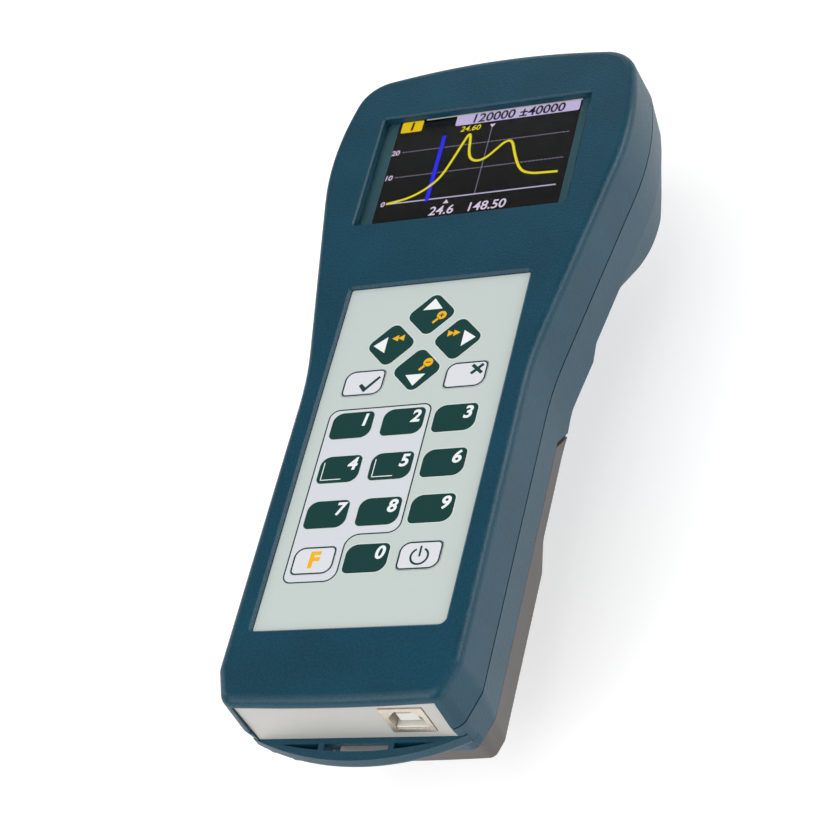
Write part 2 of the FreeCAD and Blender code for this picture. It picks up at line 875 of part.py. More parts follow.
def board_chips():
    """Packages on the main board: processor, memory, mixer pair under the cover, regulator."""
    spots = [
        (8.0, -32.0, 14.0, 14.0, 1.4),
        (-10.0, -32.0, 8.0, 11.0, 1.1),
        (-9.0, shield_y, 9.0, 9.0, 1.0),
        (9.0, shield_y, 9.0, 9.0, 1.0),
        (14.0, -48.0, 6.5, 6.5, 1.6),
    ]
    chips = []
    for x, y, width, length, height in spots:
        chips.append(box(x - width / 2, x + width / 2, y - length / 2, y + length / 2,
                         board_top, board_top + height))
    return chips


def buzzer():
    body = rod(buzzer_x, buzzer_y, board_top, board_top + buzzer_height, buzzer_radius)
    return single(body.cut(rod(buzzer_x, buzzer_y, board_top + buzzer_height - 1.5, far, 1.0)))


def board_link():
    """Pin strip that joins the keypad board to the main board."""
    return box(-link_width / 2, link_width / 2, link_y - link_depth / 2, link_y + link_depth / 2,
               board_top, keypad_board_bottom)


def display_link():
    """Pin strip that joins the display board to the main board."""
    low = shield_y + shield_length / 2 + 1.5
    return box(-link_width / 2, link_width / 2, low, low + link_depth, board_top, display_board_bottom)


# Connectors

def socket_low():
    return board_top + 0.2


def socket_corners(growth=0.0):
    """Mouth outline in the X-Z plane: square below, with its two upper corners cut."""
    half = socket_width / 2 + growth
    low = socket_low() - growth
    high = socket_low() + socket_height + growth
    return half, low, high


def socket_block(growth):
    half, low, high = socket_corners(growth)
    front = lower_panel_face_y - socket_proud
    return box(socket_x - half, socket_x + half, front, front + socket_length, low, high)


def socket_mouth(inset, depth):
    """Space inside the socket, narrowed at the top by its two slanted walls."""
    half = socket_width / 2 - inset
    low = socket_low() + inset
    high = socket_low() + socket_height - inset
    cut = socket_chamfer
    points = [(-half, low), (-half, high - cut), (-half + cut, high), (half - cut, high),
              (half, high - cut), (half, low)]
    front = lower_panel_face_y - socket_proud - 1
    wire = Part.makePolygon([Vector(socket_x + x, front, z) for x, z in points + points[:1]])
    return Part.Face(wire).extrude(Vector(0, depth + 1, 0))


def data_socket_shell():
    body = socket_block(0.0)
    return single(body.cut(socket_mouth(socket_rim, socket_length - 3.0)))


def data_socket_tongue():
    """White block that carries the contacts, on a base lining the back and foot of the mouth."""
    front = lower_panel_face_y - socket_proud
    middle = socket_low() + socket_height / 2
    back = front + socket_length - 3.0
    tongue = box(socket_x - socket_tongue_width / 2, socket_x + socket_tongue_width / 2,
                 front + socket_tongue_inset, back,
                 middle - socket_tongue_height / 2, middle + socket_tongue_height / 2)
    room = socket_mouth(socket_rim + fit_gap, socket_length - 3.0)
    foot = socket_low() + socket_rim + fit_gap + socket_lining
    wall = box(-far, far, back - socket_lining, back, -far, far).common(room)
    floor = box(-far, far, front + socket_tongue_inset / 2, back, -far, foot).common(room)
    return single(joined([tongue, wall, floor]))


def data_socket_contacts():
    front = lower_panel_face_y - socket_proud + socket_tongue_inset
    middle = socket_low() + socket_height / 2
    strips = []
    for side in (-1, 1):
        for x in (-1.25, 1.25):
            face = middle + side * socket_tongue_height / 2
            z0 = min(face, face + side * 0.25)
            strips.append(box(socket_x + x - 0.5, socket_x + x + 0.5, front + 1.0, front + 8.0, z0, z0 + 0.25))
    return strips


def lengthwise_hex(width, y0, y1):
    """Six-sided bar along Y with two flats facing up and down."""
    reach = width / 2 / math.cos(math.radians(30))
    points = []
    for i in range(7):
        angle = math.radians(60 * i)
        points.append(Vector(reach * math.cos(angle), y0, connector_level + reach * math.sin(angle)))
    return Part.Face(Part.makePolygon(points)).extrude(Vector(0, y1 - y0, 0))


def antenna_connector_body():
    """Hexagon, threaded barrel and neck turned in one piece, bored right through."""
    face = upper_panel_face_y
    root = face + connector_hex_thickness
    tip = root + thread_length
    barrel = lengthwise_rod(0, connector_level, root - 0.2, tip, thread_radius)
    rim = [e for e in barrel.Edges if e.BoundBox.YMin > tip - 0.01]
    barrel = barrel.makeChamfer(connector_chamfer, rim)
    neck = lengthwise_rod(0, connector_level, face - panel_thickness - connector_neck_length, face + 0.2,
                          connector_neck_radius)
    body = joined([lengthwise_hex(connector_hex, face, root), barrel, neck])
    return single(body.cut(lengthwise_rod(0, connector_level, 0, far, connector_bore_radius)))


def antenna_connector_nut():
    inner = upper_panel_face_y - panel_thickness - connector_washer_thickness
    nut = lengthwise_hex(connector_nut_hex, inner - connector_nut_thickness, inner)
    return single(nut.cut(lengthwise_rod(0, connector_level, 0, far, connector_neck_radius)))


def antenna_connector_washer():
    inner = upper_panel_face_y - panel_thickness
    ring = lengthwise_rod(0, connector_level, inner - connector_washer_thickness, inner, connector_nut_hex / 2)
    return single(ring.cut(lengthwise_rod(0, connector_level, 0, far, connector_neck_radius + fit_gap)))


def antenna_connector_insulator():
    """White collar that fills the bore from the neck's end to a short way past the hexagon."""
    low = upper_panel_face_y - panel_thickness - connector_neck_length
    collar = lengthwise_rod(0, connector_level, low, upper_panel_face_y + insulator_length, connector_bore_radius)
    return single(collar.cut(lengthwise_rod(0, connector_level, 0, far, contact_radius)))


def antenna_connector_contact():
    """Centre contact: a split socket in front, a solder tail behind."""
    face = upper_panel_face_y
    root = face - panel_thickness - connector_neck_length
    front = lengthwise_rod(0, connector_level, root, face + 8.0, contact_radius)
    tail_end = face - panel_thickness - connector_tail_length
    tail = lengthwise_rod(0, connector_level, tail_end, root + 0.1, contact_pin_radius)
    bore = lengthwise_rod(0, connector_level, face + 3.0, face + 20, contact_radius * 0.55)
    slit = box(-0.15, 0.15, face + 4.5, face + 20, connector_level - 5, connector_level + 5)
    return single(joined([front, tail]).cut([bore, slit]))


def antenna_link():
    """Short lead from the connector's tail down to the main board."""
    y = upper_panel_face_y - panel_thickness - connector_tail_length
    high = connector_level - contact_pin_radius
    run = box(-1.0, 1.0, y - 2.0, y + 1.6, high - 0.5, high)
    drop = box(-1.0, 1.0, y - 2.0, y - 1.4, board_top, high)
    return joined([run, drop])


# Cells and contacts

def cell_places():
    first = -cell_pitch * (cell_count - 1) / 2
    return [first + cell_pitch * i for i in range(cell_count)]


def cell(x, nub_up):
    """Round cell with its raised end cap at one end; neighbours lie head to tail."""
    low = bay_middle_y - cell_length / 2
    high = bay_middle_y + cell_length / 2
    if nub_up:
        can = lengthwise_rod(x, cell_level, low, high - cell_nub_length, cell_radius)
        nub = lengthwise_rod(x, cell_level, high - cell_nub_length - 0.1, high, cell_nub_radius)
    else:
        can = lengthwise_rod(x, cell_level, low + cell_nub_length, high, cell_radius)
        nub = lengthwise_rod(x, cell_level, low, low + cell_nub_length + 0.1, cell_nub_radius)
    return joined([can, nub])


def cell_contacts():
    """Sprung strips at both ends of the bay, each with a pressed bump that meets its cell."""
    strips = []
    half_length = bay_length / 2
    bump = bay_end_gap - contact_thickness - 0.02
    for x in cell_places():
        for end in (-1, 1):
            wall = bay_middle_y + end * (half_length - 0.02)
            inner = wall - end * contact_thickness
            low = min(wall, inner)
            plate = box(x - contact_width / 2, x + contact_width / 2, low, low + contact_thickness,
                        cell_level - contact_width / 2, bay_ceiling - 0.1)
            dent = Part.makeCone(2.6, 1.2, bump, Vector(x, inner, cell_level), Vector(0, -end, 0))
            strips.append(joined([plate, dent]))
    return strips


# Screws

def cross_slot(x, y, level, radius, way):
    """Crossed recess in a screw head that faces up or down."""
    z0 = level - screw_slot_depth if way > 0 else level
    long = radius * 0.62
    half = screw_slot_width / 2
    return [box(x - long, x + long, y - half, y + half, z0, z0 + screw_slot_depth),
            box(x - half, x + half, y - long, y + long, z0, z0 + screw_slot_depth)]


def screw(x, y, seat, end, radius, head_radius, head_height):
    """Screw along Z whose head bears on the seat; the shank runs from there to its end."""
    way = 1 if seat > end else -1
    head_top = seat + way * head_height
    head = rod(x, y, min(seat, head_top), max(seat, head_top), head_radius)
    shank = rod(x, y, min(seat, end), max(seat, end), radius)
    body = joined([head, shank])
    return single(body.cut(cross_slot(x, y, head_top, head_radius, way)))


def case_screws():
    screws = []
    for x, y in boss_places():
        seat = case_screw_seat(y)
        screws.append(screw(x, y, seat, front_low + case_screw_reach, case_screw_radius - 0.3,
                            case_screw_head_radius, case_screw_head_height))
    return screws


def board_screws():
    screws = []
    for x, y in board_post_places():
        screws.append(screw(x, y, board_top, board_level - small_screw_reach, small_screw_radius - 0.25,
                            small_screw_head_radius, small_screw_head_height))
    return screws


def keypad_screws():
    screws = []
    for x, y in keypad_post_places():
        screws.append(screw(x, y, keypad_board_bottom, face_inner - 0.3, small_screw_radius - 0.25,
                            small_screw_head_radius, small_screw_head_height))
    return screws


def display_screws():
    screws = []
    for x, y in display_post_places():
        screws.append(screw(x, y, display_board_bottom, display_board_top + small_screw_reach,
                            small_screw_radius - 0.25, small_screw_head_radius, small_screw_head_height))
    return screws


# Writing every piece

pieces = {
    "front_shell": [front_shell()],
    "rear_shell": [rear_shell()],
    "lower_panel": [lower_panel()],
    "upper_panel": [upper_panel()],
    "battery_door": [battery_door()],
    "door_seal": [door_seal()],
    "display_lens": [display_lens()],
    "display_glass": [display_glass()],
    "display_frame": [display_frame()],
    "display_light": [display_light()],
    "display_board": [display_board()],
    "display_link": [display_link()],
    "display_screws": display_screws(),
    "keypad_overlay": [keypad_overlay()],
    "key_domes": key_domes(),
    "keypad_board": [keypad_board()],
    "keypad_screws": keypad_screws(),
    "main_board": [main_board()],
    "board_chips": board_chips(),
    "board_link": [board_link()],
    "board_screws": board_screws(),
    "shield_can": [shield_can()],
    "buzzer": [buzzer()],
    "data_socket_shell": [data_socket_shell()],
    "data_socket_tongue": [data_socket_tongue()],
    "data_socket_contacts": data_socket_contacts(),
    "antenna_connector_body": [antenna_connector_body()],
    "antenna_connector_insulator": [antenna_connector_insulator()],
    "antenna_connector_contact": [antenna_connector_contact()],
    "antenna_link": [antenna_link()],
    "antenna_connector_nut": [antenna_connector_nut()],
    "antenna_connector_washer": [antenna_connector_washer()],
    "cell_contacts": cell_contacts(),
    "case_screws": case_screws(),
}
for number, cell_x in enumerate(cell_places()):
    pieces["cell_%d" % (number + 1)] = [cell(cell_x, number % 2 == 0)]
for key_name, key_x, key_y, key_kind in key_plan():
    pieces[key_name] = [key_cap(key_x, key_y, key_kind)]

for node in sorted(pieces):
    save(node, pieces[node])
print(len(pieces), "pieces")
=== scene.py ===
import math

import bmesh
import bpy
from mathutils import Matrix, Vector


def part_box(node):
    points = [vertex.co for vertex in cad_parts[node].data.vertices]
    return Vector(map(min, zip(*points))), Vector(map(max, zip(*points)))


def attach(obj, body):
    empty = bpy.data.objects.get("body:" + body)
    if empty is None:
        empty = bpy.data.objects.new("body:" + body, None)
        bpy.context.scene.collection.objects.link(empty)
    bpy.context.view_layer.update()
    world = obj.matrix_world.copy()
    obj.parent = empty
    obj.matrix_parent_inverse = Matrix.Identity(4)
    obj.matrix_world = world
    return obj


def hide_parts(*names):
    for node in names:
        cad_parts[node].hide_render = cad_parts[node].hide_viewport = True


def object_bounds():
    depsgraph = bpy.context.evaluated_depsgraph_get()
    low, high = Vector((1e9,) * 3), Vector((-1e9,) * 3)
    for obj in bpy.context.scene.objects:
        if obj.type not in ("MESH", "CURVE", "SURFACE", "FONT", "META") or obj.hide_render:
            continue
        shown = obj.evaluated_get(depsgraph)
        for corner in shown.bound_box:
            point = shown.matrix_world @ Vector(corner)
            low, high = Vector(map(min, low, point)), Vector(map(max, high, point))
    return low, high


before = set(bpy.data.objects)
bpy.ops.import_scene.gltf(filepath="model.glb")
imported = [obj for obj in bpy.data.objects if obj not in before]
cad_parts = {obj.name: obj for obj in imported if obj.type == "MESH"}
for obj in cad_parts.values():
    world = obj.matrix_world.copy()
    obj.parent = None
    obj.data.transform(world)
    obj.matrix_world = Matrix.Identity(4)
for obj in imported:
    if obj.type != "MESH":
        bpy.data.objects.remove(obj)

cad_low, cad_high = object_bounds()
mm = 0.001
per_metre = 1000
white = (1.0, 1.0, 1.0, 1.0)

# The studio: a plain pale floor that leaves the battery door room to drop away, a white surround
# and soft lamps, with the camera to the right of the lower end and well above it, where the
# photograph was taken from.
camera_place = (0.29636, -0.40348, 0.50980)
camera_right = (0.89753, 0.21216, -0.38656)
camera_up = (0.07110, 0.79556, 0.60169)
camera_back = (0.43519, -0.56752, 0.69895)
camera_lens_mm = 109.39
camera_sensor_mm = 36.0
camera_nearest = 0.01
surround_level = 0.40
mirrored_level = 0.10
floor_half = 6.0
floor_drop = 0.0325
floor_grey = (0.90, 0.90, 0.90, 1.0)
floor_roughness = 0.9
floor_mirrored = 0.15
floor_fade_start, floor_fade_end = 0.3, 1.2
floor_glow_near, floor_glow_far = 0.32, 1.0
# Each lamp has its place, the point that it faces, the length of its side and its watts.
lamps = {
    "overhead": ((-0.10, -0.50, 1.10), (0.0, 0.0, 0.0), 1.1, 6.3),
    "right_hand": ((0.78, 0.60, 0.46), (0.0, 0.0, 0.02), 0.45, 4.2),
    "right_low": ((0.95, -0.30, 0.10), (0.0, 0.0, 0.02), 0.6, 2.2),
    "near_end": ((-0.40, -0.88, 0.52), (0.0, -0.05, 0.02), 0.5, 3.0),
    "left_hand": ((-0.90, 0.10, 0.45), (0.0, 0.0, 0.02), 0.4, 1.6),
    "far_end": ((-0.20, 1.10, 0.35), (0.0, 0.05, 0.02), 0.8, 2.0),
}

scene = bpy.context.scene
scene.view_settings.view_transform = "Standard"


def paint(code):
    """A colour as the eye reads it, turned into the light values that a shader takes."""
    parts = [int(code[i:i + 2], 16) / 255 for i in (1, 3, 5)]
    return [p / 12.92 if p <= 0.04045 else ((p + 0.055) / 1.055) ** 2.4 for p in parts] + [1.0]


def add(tree, kind, inputs=None, **settings):
    """Adds a shader node; an input is given a value, or the socket that feeds it."""
    node = tree.nodes.new("ShaderNode" + kind)
    for name, value in settings.items():
        setattr(node, name, value)
    for name, value in (inputs or {}).items():
        if isinstance(value, bpy.types.NodeSocket):
            tree.links.new(value, node.inputs[name])
        else:
            node.inputs[name].default_value = value
    return node


def new_finish(name):
    """A new material: its node tree and its Principled shader."""
    finish = bpy.data.materials.new(name)
    finish.use_nodes = True
    return finish, finish.node_tree, finish.node_tree.nodes["Principled BSDF"]


camera_data = bpy.data.cameras.new("camera")
camera_data.lens = camera_lens_mm
camera_data.sensor_width = camera_sensor_mm
camera_data.clip_start = camera_nearest
camera = bpy.data.objects.new("camera", camera_data)
scene.collection.objects.link(camera)
turned = Matrix((camera_right, camera_up, camera_back)).transposed().to_4x4()
camera.matrix_world = Matrix.Translation(camera_place) @ turned
scene.camera = camera

for name, (place, target, side, watts) in lamps.items():
    lamp_data = bpy.data.lights.new(name, "AREA")
    lamp_data.shape = "SQUARE"
    lamp_data.size = side
    lamp_data.energy = watts
    lamp = bpy.data.objects.new(name, lamp_data)
    lamp.location = place
    lamp.rotation_euler = (Vector(target) - Vector(place)).to_track_quat("-Z", "Y").to_euler()
    scene.collection.objects.link(lamp)

surround = bpy.data.worlds.new("surround")
scene.world = surround
surround.use_nodes = True
tree = surround.node_tree
seen = add(tree, "LightPath")
either = add(tree, "Math", {0: seen.outputs["Is Glossy Ray"],
                            1: seen.outputs["Is Transmission Ray"]}, operation="MAXIMUM")
pale = add(tree, "MapRange", {"Value": either.outputs[0], "To Min": surround_level,
                              "To Max": mirrored_level})
strength = add(tree, "Mix", {0: seen.outputs["Is Camera Ray"], 2: pale.outputs[0], 3: 1.0})
background = tree.nodes["Background"]
background.inputs["Color"].default_value = white
tree.links.new(strength.outputs[0], background.inputs["Strength"])

# The floor's own glow shows to the camera and in gloss only, and its underside shows nothing.
floor_finish, tree, shader = new_finish("floor_paper")
shader.inputs["Base Color"].default_value = floor_grey
shader.inputs["Roughness"].default_value = floor_roughness
shader.inputs["Emission Color"].default_value = white
seen = add(tree, "LightPath")
where = add(tree, "TexCoord")
reach = add(tree, "VectorMath", {0: where.outputs["Object"]}, operation="LENGTH")
fade = add(tree, "MapRange", {"Value": reach.outputs["Value"],
                              "From Min": floor_fade_start, "From Max": floor_fade_end,
                              "To Min": floor_glow_near, "To Max": floor_glow_far})
shown = add(tree, "Math", {0: seen.outputs["Is Camera Ray"], 1: fade.outputs[0]},
            operation="MULTIPLY")
glow = add(tree, "Math", {0: seen.outputs["Is Glossy Ray"], 1: floor_mirrored,
                          2: shown.outputs[0]}, operation="MULTIPLY_ADD")
tree.links.new(glow.outputs[0], shader.inputs["Emission Strength"])
facing = add(tree, "NewGeometry")
clear = add(tree, "BsdfTransparent")
one_sided = add(tree, "MixShader", {0: facing.outputs["Backfacing"], 1: shader.outputs[0],
                                    2: clear.outputs[0]})
tree.links.new(one_sided.outputs[0], tree.nodes["Material Output"].inputs["Surface"])
shape = bmesh.new()
bmesh.ops.create_grid(shape, x_segments=1, y_segments=1, size=floor_half)
floor_mesh = bpy.data.meshes.new("floor")
shape.to_mesh(floor_mesh)
shape.free()
floor_mesh.materials.append(floor_finish)
floor = bpy.data.objects.new("floor", floor_mesh)
floor.location = (0.0, 0.0, cad_low[2] - floor_drop)
scene.collection.objects.link(floor)

# The two case halves: front and rear shells moulded in petrol blue ABS with a fine spark-eroded
# grain, joined by a tongue along the parting line and held by the screws from behind.
case_blue = "#074053"
case_texture = {"scale": 1500.0, "depth": 0.10, "bump": 1.0}
noise_middle = 0.5
grain_detail = 3.0
grain_breakup = 0.65
grain_dulling = 0.25
cloud_scale = 55.0
cloud_detail = 2.0
cloud_share = 0.35


def effect(name, inputs, outputs):
    """A shader node group with named inputs and outputs, and its two end nodes."""
    group = bpy.data.node_groups.new(name, "ShaderNodeTree")
    for label, kind, value in inputs:
        socket = group.interface.new_socket(name=label, in_out="INPUT", socket_type=kind)
        socket.default_value = value
    for label, kind in outputs:
        group.interface.new_socket(name=label, in_out="OUTPUT", socket_type=kind)
    return group, group.nodes.new("NodeGroupInput"), group.nodes.new("NodeGroupOutput")


surface_outputs = [("Colour", "NodeSocketColor"), ("Roughness", "NodeSocketFloat"),
                   ("Height", "NodeSocketFloat")]
grain, given, result = effect(
    "moulded_grain",
    [("Colour", "NodeSocketColor", (0.5, 0.5, 0.5, 1.0)), ("Fleck", "NodeSocketFloat", 0.2),
     ("Scale", "NodeSocketFloat", 2600.0), ("Roughness", "NodeSocketFloat", 0.5)],
    surface_outputs)
where = add(grain, "TexCoord")
fine = add(grain, "TexNoise", {"Vector": where.outputs["Object"], "Scale": given.outputs["Scale"],
                               "Detail": grain_detail, "Roughness": grain_breakup})
cloud = add(grain, "TexNoise", {"Vector": where.outputs["Object"], "Scale": cloud_scale,
                                "Detail": cloud_detail})
spread = add(grain, "Math", {0: fine.outputs["Fac"], 1: noise_middle}, operation="SUBTRACT")
drift = add(grain, "Math", {0: cloud.outputs["Fac"], 1: noise_middle}, operation="SUBTRACT")
both = add(grain, "Math", {0: drift.outputs[0], 1: cloud_share, 2: spread.outputs[0]},
           operation="MULTIPLY_ADD")
shade = add(grain, "Math", {0: both.outputs[0], 1: given.outputs["Fleck"], 2: 1.0},
            operation="MULTIPLY_ADD")
tinted = add(grain, "HueSaturation", {"Color": given.outputs["Colour"],
                                      "Value": shade.outputs[0]})
dull = add(grain, "Math", {0: spread.outputs[0], 1: grain_dulling,
                           2: given.outputs["Roughness"]}, operation="MULTIPLY_ADD")
grain.links.new(tinted.outputs[0], result.inputs["Colour"])
grain.links.new(dull.outputs[0], result.inputs["Roughness"])
grain.links.new(fine.outputs["Fac"], result.inputs["Height"])


def textured(name, group, group_values, bump, depth, shader_values):
    """A material whose colour, roughness and height come from a shader node group."""
    finish, tree, shader = new_finish(name)
    source = tree.nodes.new("ShaderNodeGroup")
    source.node_tree = group
    for label, value in group_values.items():
        source.inputs[label].default_value = value
    rise = add(tree, "Bump", {"Height": source.outputs["Height"], "Strength": bump,
                              "Distance": depth})
    for label, value in shader_values.items():
        shader.inputs[label].default_value = value
    tree.links.new(source.outputs["Colour"], shader.inputs["Base Color"])
    tree.links.new(source.outputs["Roughness"], shader.inputs["Roughness"])
    tree.links.new(rise.outputs[0], shader.inputs["Normal"])
    return finish


def moulded(name, colour, fleck, roughness, scale, depth, bump=0.35, shine=0.4):
    """A grained plastic, film, ink or rubber; the depth of its grain is in millimetres."""
    return textured(name, grain, {"Colour": paint(colour), "Fleck": fleck, "Scale": scale,
                                  "Roughness": roughness},
                    bump, depth * mm, {"Specular IOR Level": shine})


def dress(finish, *nodes):
    """Gives CAD nodes their finish."""
    for node in nodes:
        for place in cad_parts[node].material_slots:
            place.material = finish


dress(moulded("case_plastic", case_blue, fleck=1.2, roughness=0.38, shine=0.36, **case_texture),
      "front_shell", "rear_shell")

# The battery door: a warm grey moulding with the same grain, which clips into the rear shell
# and drops away from it; a strip of black foam rubber seals its edge.
door_grey = "#5b5857"
seal_black = "#191919"
dress(moulded("door_plastic", door_grey, fleck=0.9, roughness=0.5, **case_texture),
      "battery_door")
dress(moulded("seal_foam", seal_black, fleck=0.8, roughness=0.85, scale=3500.0, depth=0.08,
              bump=0.8), "door_seal")

# The end panels: stiff plates with a warm light grey printed film, slid into grooves at each end
# of the case; the lower one is cut out for the data socket and the upper for the connector.
panel_grey = "#c6c5c0"
dress(moulded("panel_film", panel_grey, fleck=0.05, roughness=0.42, scale=3200.0, depth=0.008,
              bump=0.25), "lower_panel", "upper_panel")

# The screws: pan heads that hold the shells, the boards and the display. The case screws are
# blackened steel, and those inside the case are bright zinc.
screw_grey = "#a9a9a6"
screw_black = "#2b2b2c"
streak_stretch = (1.0, 0.06, 1.0)
streak_detail = 4.0
streak_breakup = 0.7
streak_shade = 0.5
streak_dulling = 0.35
streak_depth = 0.00001

drawn, given, result = effect(
    "drawn_metal",
    [("Colour", "NodeSocketColor", (0.7, 0.7, 0.7, 1.0)), ("Roughness", "NodeSocketFloat", 0.3),
     ("Scale", "NodeSocketFloat", 900.0)],
    surface_outputs)
where = add(drawn, "TexCoord")
pulled = add(drawn, "Mapping", {"Vector": where.outputs["Object"], "Scale": streak_stretch})
streak = add(drawn, "TexNoise", {"Vector": pulled.outputs[0], "Scale": given.outputs["Scale"],
                                 "Detail": streak_detail, "Roughness": streak_breakup})
spread = add(drawn, "Math", {0: streak.outputs["Fac"], 1: noise_middle}, operation="SUBTRACT")
shade = add(drawn, "Math", {0: spread.outputs[0], 1: streak_shade, 2: 1.0},
            operation="MULTIPLY_ADD")
tinted = add(drawn, "HueSaturation", {"Color": given.outputs["Colour"],
                                      "Value": shade.outputs[0]})
dull = add(drawn, "Math", {0: spread.outputs[0], 1: streak_dulling,
                           2: given.outputs["Roughness"]}, operation="MULTIPLY_ADD")
drawn.links.new(tinted.outputs[0], result.inputs["Colour"])
drawn.links.new(dull.outputs[0], result.inputs["Roughness"])
drawn.links.new(streak.outputs["Fac"], result.inputs["Height"])


def metal(name, colour, roughness, scale=900.0, bump=0.15):
    """A drawn or plated metal: the streak group feeding a metallic Principled shader."""
    return textured(name, drawn, {"Colour": paint(colour), "Roughness": roughness,
                                  "Scale": scale},
                    bump, streak_depth, {"Metallic": 1.0})


dress(metal("screw_steel", screw_grey, roughness=0.34),
      "display_screws", "keypad_screws", "board_screws")
dress(metal("black_screw", screw_black, roughness=0.42), "case_screws")

# The data socket: a folded shell of tinned steel through the lower panel, with a white tongue
# that carries four gold-plated contacts. Other pieces of these stuffs are dressed with it.
socket_metal = "#e6dccd"
tongue_white = "#e9e8e2"
contact_gold = "#d2aa58"
dress(metal("tinned_steel", socket_metal, roughness=0.40, scale=1400.0, bump=0.04),
      "data_socket_shell", "shield_can", "display_frame")
dress(moulded("white_plastic", tongue_white, fleck=0.04, roughness=0.3, scale=3000.0,
              depth=0.005),
      "data_socket_tongue", "antenna_connector_insulator", "display_light")
dress(metal("contact_brass", contact_gold, roughness=0.22),
      "data_socket_contacts", "antenna_connector_contact")

# The antenna connector's nut and washer, which hold it from inside: nickel-plated brass, as its
# body is. The body itself is the last piece of this script.
nickel_grey = "#bcb9b0"
nickel = metal("plated_brass", nickel_grey, roughness=0.24, scale=700.0)
dress(nickel, "antenna_connector_nut", "antenna_connector_washer")

# The boards and what they carry: green solder mask over copper tracks on glass fibre, black
# moulded chips, a black buzzer, the links between the boards, and springs of bare steel.
mask_green = "#0f5034"
mask_shadow = "#0d4a30"
track_green = "#1f7a50"
pad_tin = "#b9b48c"
chip_black = "#1b1b1c"
spring_grey = "#c9c8c4"
track_scale = 300.0
track_width = 0.06
track_bump = 0.3
track_depth = 0.00002
pad_scale = 330.0
pad_radius = 0.16
board_roughness = 0.32
board_finish, tree, shader = new_finish("circuit_board")
where = add(tree, "TexCoord")
tracks = add(tree, "TexBrick", {"Vector": where.outputs["Object"], "Scale": track_scale,
                                "Mortar Size": track_width, "Color1": paint(mask_green),
                                "Color2": paint(mask_shadow), "Mortar": paint(track_green)})
spots = add(tree, "TexVoronoi", {"Vector": where.outputs["Object"], "Scale": pad_scale})
pad = add(tree, "Math", {0: spots.outputs["Distance"], 1: pad_radius}, operation="LESS_THAN")
printed = add(tree, "Mix", {0: pad.outputs[0], 6: tracks.outputs["Color"], 7: paint(pad_tin)},
              data_type="RGBA")
rise = add(tree, "Bump", {"Height": tracks.outputs["Fac"], "Strength": track_bump,
                          "Distance": track_depth})
tree.links.new(printed.outputs[2], shader.inputs["Base Color"])
tree.links.new(rise.outputs[0], shader.inputs["Normal"])
shader.inputs["Roughness"].default_value = board_roughness
dress(board_finish, "main_board", "display_board", "keypad_board")
dress(moulded("black_plastic", chip_black, fleck=0.3, roughness=0.45, scale=2400.0, depth=0.01),
      "board_chips", "buzzer", "board_link", "display_link", "antenna_link")
dress(metal("spring_steel", spring_grey, roughness=0.22), "key_domes", "cell_contacts")

# The three round cells: steel cans in a printed sleeve, dark over most of the length with a
# copper-coloured band at the raised end and bare steel at both ends.
sleeve_black = "#23262b"
band_copper = "#b3713c"
can_grey = "#b9b8b2"
cell_band = 0.013
cell_bare = 0.0011
cell_button = 0.001
scuff_scale = 400.0
scuff_detail = 4.0
can_roughness_low, can_roughness_high = 0.2, 0.42
can_metallic = 0.65
cell_low, cell_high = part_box("cell_1")
cell_finish, tree, shader = new_finish("cell_can")
where = add(tree, "TexCoord")
along = add(tree, "SeparateXYZ", {0: where.outputs["Object"]})
band = add(tree, "Math", {0: along.outputs["Y"], 1: cell_high[1] - cell_band},
           operation="GREATER_THAN")
bare_high = add(tree, "Math", {0: along.outputs["Y"],
                               1: cell_high[1] - cell_bare - cell_button},
                operation="GREATER_THAN")
bare_low = add(tree, "Math", {0: along.outputs["Y"], 1: cell_low[1] + cell_bare},
               operation="LESS_THAN")
bare = add(tree, "Math", {0: bare_high.outputs[0], 1: bare_low.outputs[0]}, operation="MAXIMUM")
scuff = add(tree, "TexNoise", {"Vector": where.outputs["Object"], "Scale": scuff_scale,
                               "Detail": scuff_detail})
sleeve = add(tree, "Mix", {0: band.outputs[0], 6: paint(sleeve_black), 7: paint(band_copper)},
             data_type="RGBA")
wrapped = add(tree, "Mix", {0: bare.outputs[0], 6: sleeve.outputs[2], 7: paint(can_grey)},
              data_type="RGBA")
dull = add(tree, "MapRange", {"Value": scuff.outputs["Fac"], "To Min": can_roughness_low,
                              "To Max": can_roughness_high})
tree.links.new(wrapped.outputs[2], shader.inputs["Base Color"])
tree.links.new(dull.outputs[0], shader.inputs["Roughness"])
shader.inputs["Metallic"].default_value = can_metallic
dress(cell_finish, "cell_1", "cell_2", "cell_3")

# The keypad overlay: one sheet of pale grey polyester film with a fine satin texture, glued in
# the recess of the front shell over the keypad board.
film_grey = "#c2ccc8"
film_texture = {"scale": 2800.0, "depth": 0.006}
dress(moulded("overlay_film", film_grey, fleck=0.05, roughness=0.36, bump=0.3, **film_texture),
      "keypad_overlay")

# The keys: domed areas of the same film, printed dark green or pale lilac, the dark ones in a
# pale halo on the film and the light ones with a green outline. All sizes are in millimetres.
dark_green = "#163f3c"
key_lilac = "#dbdce2"
halo_grey = "#d6deda"
key_size = (12.3, 8.7)
key_cuts = (1.6, 3.0, 1.6, 3.0)
arrow_half = (7.5, 7.75)
arrow_halo_cut = 2.4
diamond_stretch = 1.4
film_top = 38.9
key_top = 39.02
halo_width = 0.28
halo_reach = 0.42
outline_width = 0.48
outline_inset = 0.05
corner_segments = 7
round_profile = 0.5
ink = 0.012


def centres(*keys):
    """The middle of each key in plan, in millimetres."""
    found = {}
    for key in keys:
        key_low, key_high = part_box(key + "_key")
        found[key] = ((key_low.x + key_high.x) * per_metre / 2,
                      (key_low.y + key_high.y) * per_metre / 2)
    return found


key_centres = centres(*["digit_%d" % number for number in range(10)])
arrow_centres = centres("up", "down", "left", "right")
light_centres = centres("function", "power", "confirm", "cancel")


